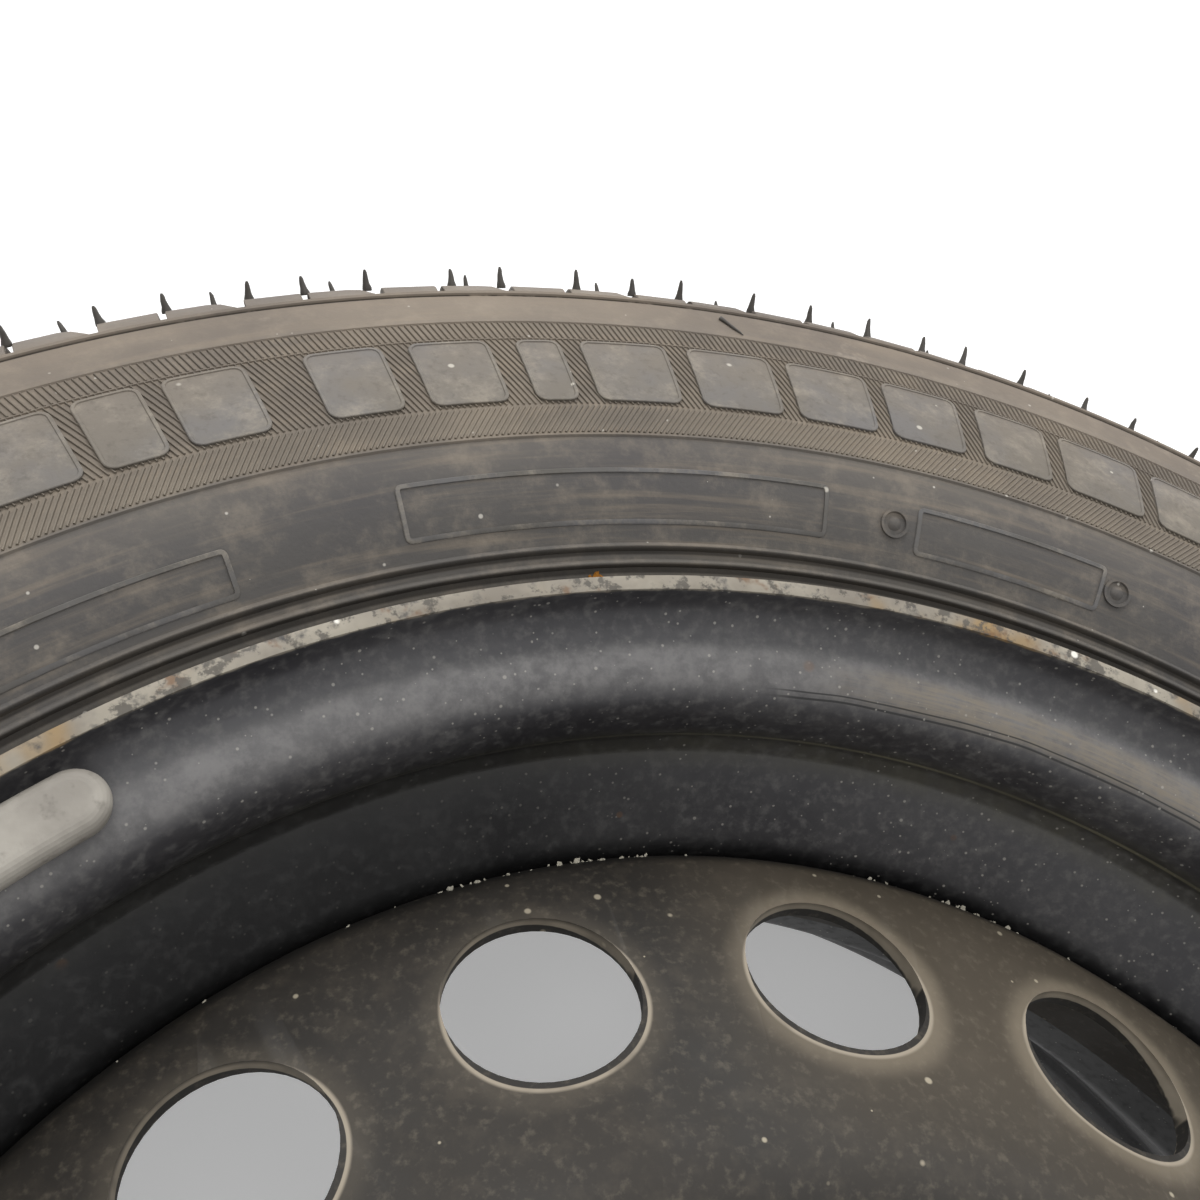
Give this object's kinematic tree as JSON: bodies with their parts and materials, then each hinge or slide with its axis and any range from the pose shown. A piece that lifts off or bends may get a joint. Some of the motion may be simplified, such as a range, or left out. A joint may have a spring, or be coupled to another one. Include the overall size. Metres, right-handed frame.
{
  "type": "spare wheel",
  "caption": "Black steel disc wheel with a fitted tubeless car tyre, snap-in valve with screw cap and a clip-on balance weight; it lies flat and bolts to a car's hub.",
  "frame": {"origin": "on the axle line, in the plane of the disc that bolts to the hub", "axes": "+Z along the axle line towards the outer face of the wheel; +X towards the first bolt hole"},
  "size_m": [0.5951, 0.5952, 0.1626],
  "materials": {
    "tyre": "matte",
    "painted_steel": "satin",
    "weld_metal": "satin",
    "valve_rubber": "matte",
    "brass": "satin",
    "white_seal": "matte",
    "spring_steel": "satin",
    "cap_plastic": "matte",
    "zinc": "matte",
    "clip_steel": "satin"
  },
  "bodies": {
    "wheel": {"tyre": "tyre", "rim": "painted_steel", "wheel_disc": "painted_steel", "disc_welds": "weld_metal", "valve_rubber": "valve_rubber", "valve_stem": "brass", "valve_core_body": "brass", "valve_core_gasket": "white_seal", "valve_core_spring": "spring_steel", "balance_weight": "zinc", "balance_weight_clip": "clip_steel"},
    "core_pin": {"valve_core_pin": "brass", "valve_core_cup": "valve_rubber"},
    "cap_washer": {"valve_cap_seal": "valve_rubber"},
    "cap": {"valve_cap": "cap_plastic"}
  },
  "joints": [
    {"name": "core_pin_press", "type": "slide", "parent": "wheel", "child": "core_pin", "axis": [-0.2424, -0.6659, -0.7056], "range_m": [0, 0.001], "stiffness_N_per_m": 400, "springref_m": -0.008, "deforming": ["valve_core_spring"]},
    {"name": "cap_lift", "type": "slide", "parent": "wheel", "child": "cap_washer", "axis": [0.2424, 0.6659, 0.7056], "range_m": [0, 0.00789]},
    {"name": "cap_unscrew", "type": "hinge", "parent": "cap_washer", "child": "cap", "pos_m": [-0.05325, -0.14629, 0.01969], "axis": [0.2424, 0.6659, 0.7056], "range_deg": [0, 3600]}
  ],
  "couplings": [
    {"joint": "cap_unscrew", "follows": "cap_lift", "rad_per_m": 7953.4}
  ]
}
